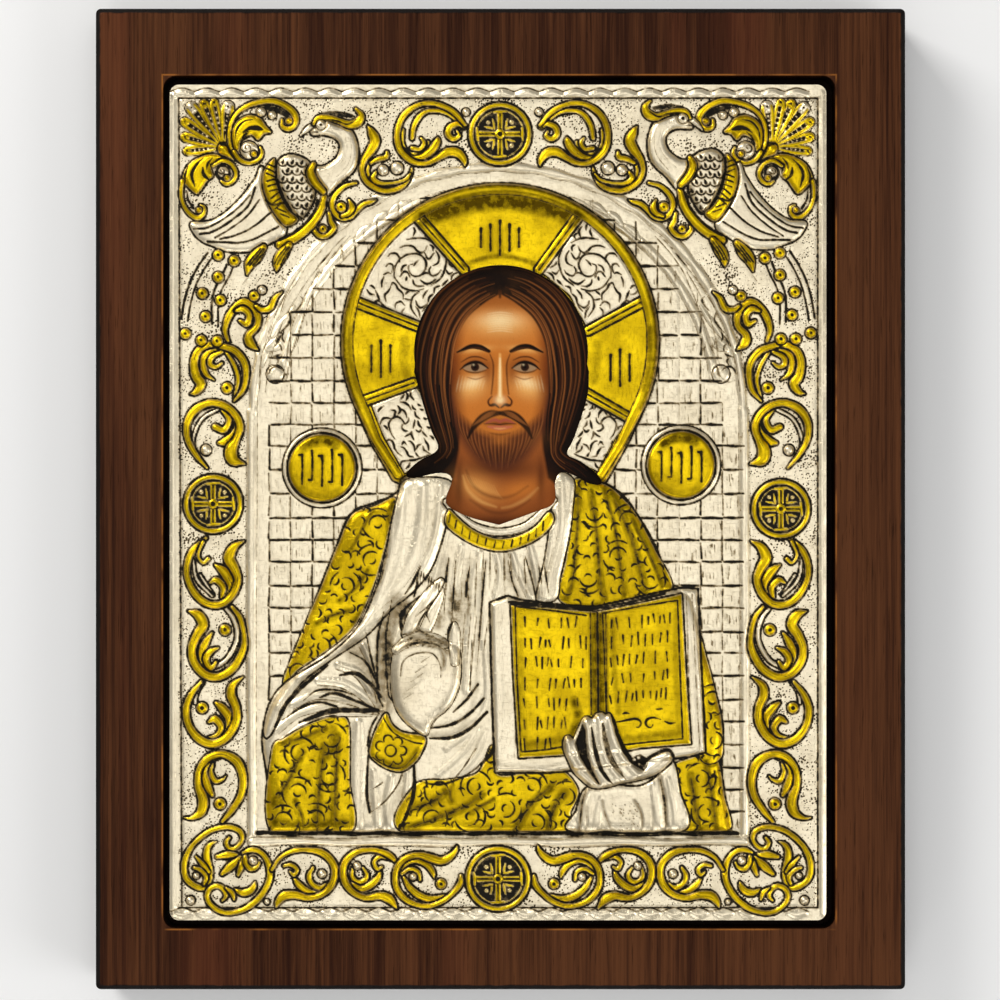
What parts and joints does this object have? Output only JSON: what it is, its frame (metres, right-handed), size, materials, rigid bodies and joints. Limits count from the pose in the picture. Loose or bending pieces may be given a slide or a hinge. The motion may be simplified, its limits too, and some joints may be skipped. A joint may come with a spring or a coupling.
{
  "type": "icon panel",
  "caption": "Painted icon panel under a chased, parcel-gilt silver cover, set in the routed recess of a stained wooden board.",
  "frame": {"origin": "centre of the board's flat back, on the surface that the panel lies on", "axes": "+X to the picture's right, +Y to the picture's top, +Z out of the front"},
  "size_m": [0.26, 0.315, 0.0308],
  "materials": {
    "stained_wood": "dark brown stain with an open upright grain, satin, blackened at the edges",
    "paint": "tempera paint under an aged warm varnish",
    "chased_silver": "silvered and parcel-gilt sheet, polished on the high places, with dark patina in the chasing"
  },
  "bodies": {
    "root": {"board": "stained_wood", "painted_panel": "paint", "silver_cover": "chased_silver"}
  },
  "joints": []
}
